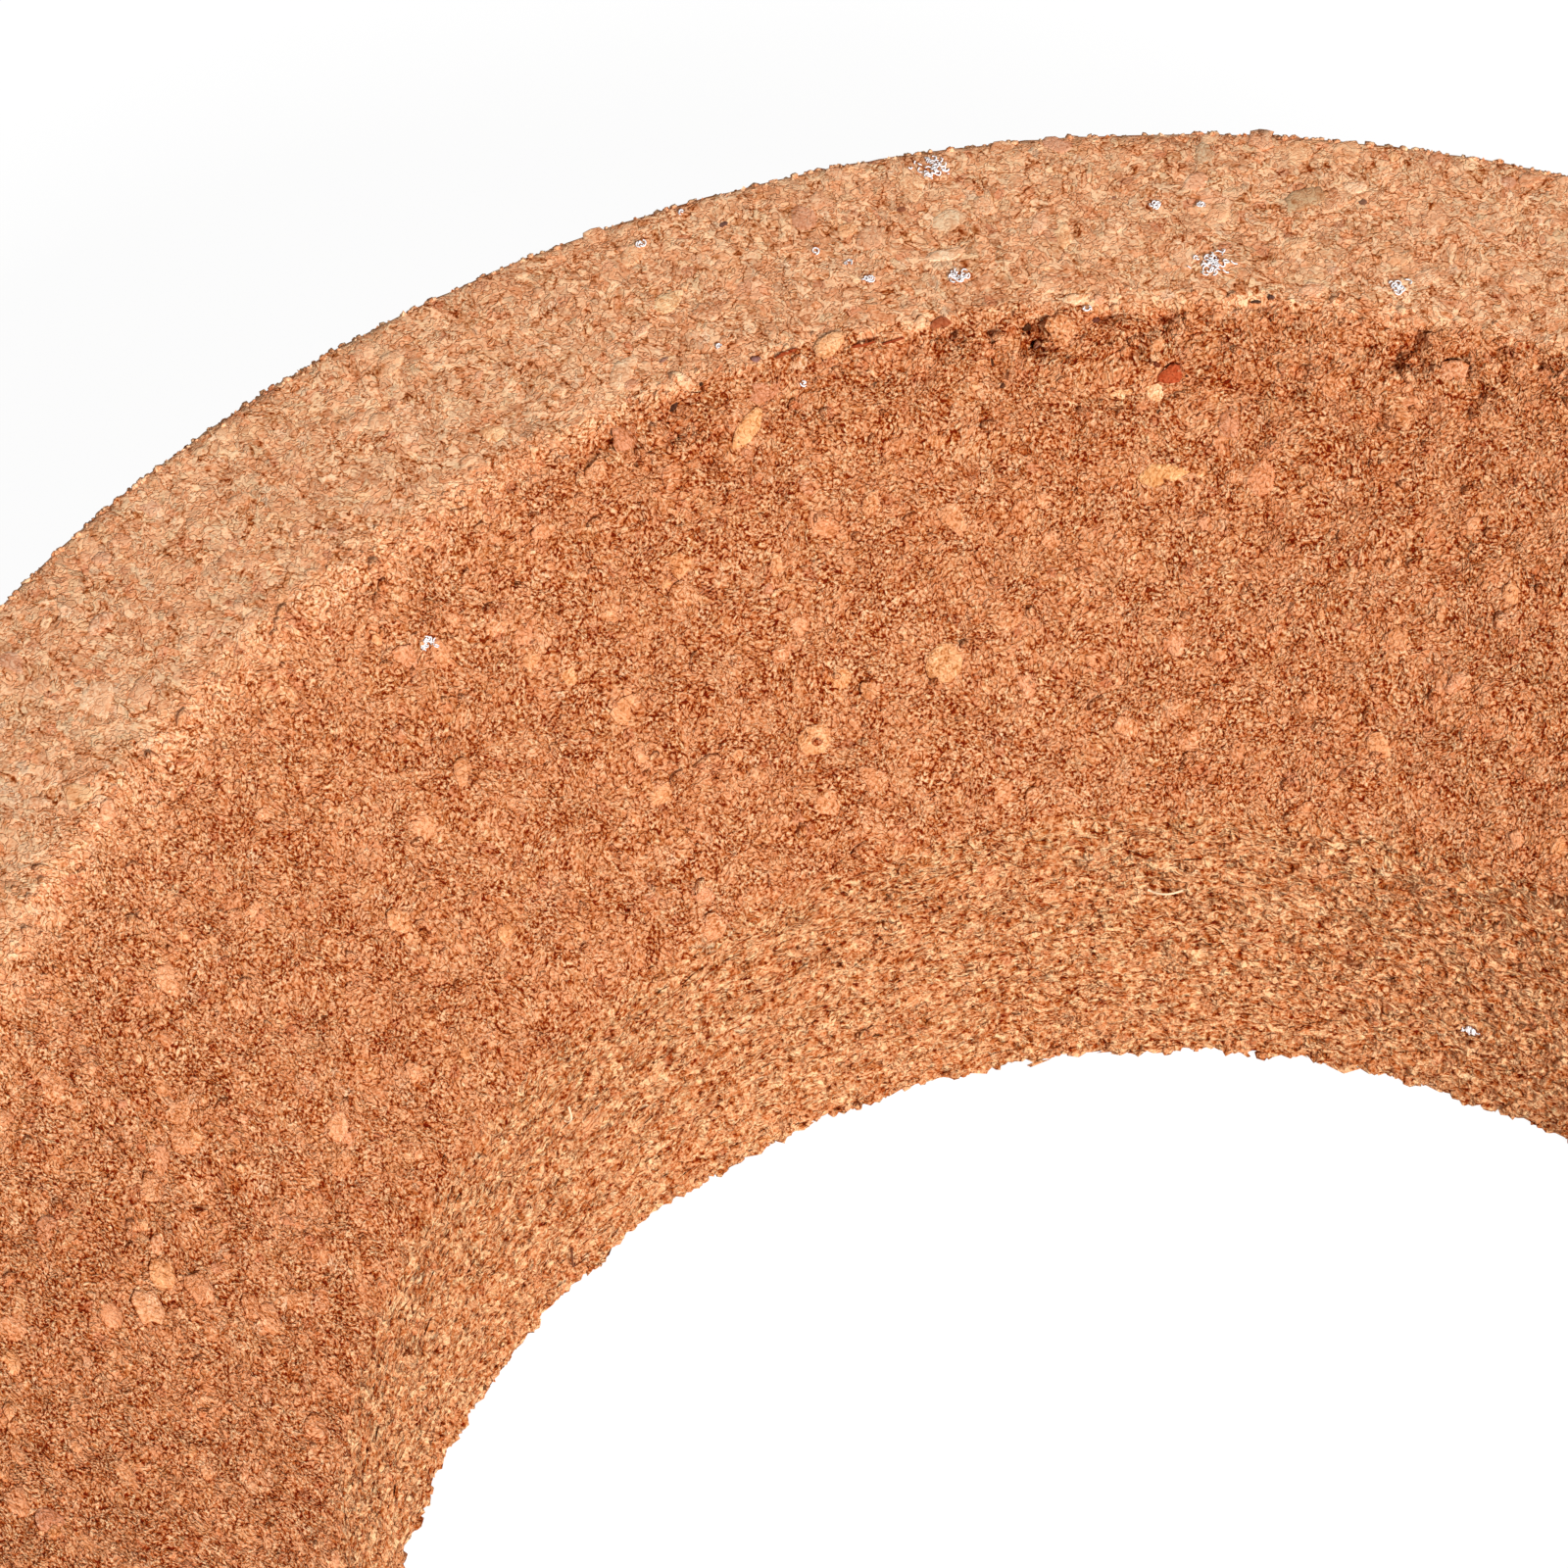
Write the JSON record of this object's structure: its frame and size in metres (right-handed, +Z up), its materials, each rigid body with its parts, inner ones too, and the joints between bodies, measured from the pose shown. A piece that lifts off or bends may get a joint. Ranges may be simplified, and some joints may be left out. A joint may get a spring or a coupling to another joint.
{
  "type": "cork ring",
  "caption": "Thick ring of agglomerated cork with a conical seat and a straight bore, a stand for a round-bottomed flask.",
  "frame": {"origin": "centre of the flat base", "axes": "+Z up along the ring's axis, towards the rim and the seat; the ring is round, so X and Y are free"},
  "size_m": [0.11, 0.11, 0.03],
  "materials": {
    "cork": "matte granulated cork"
  },
  "bodies": {
    "root": {"cork_ring": "cork"}
  },
  "joints": []
}
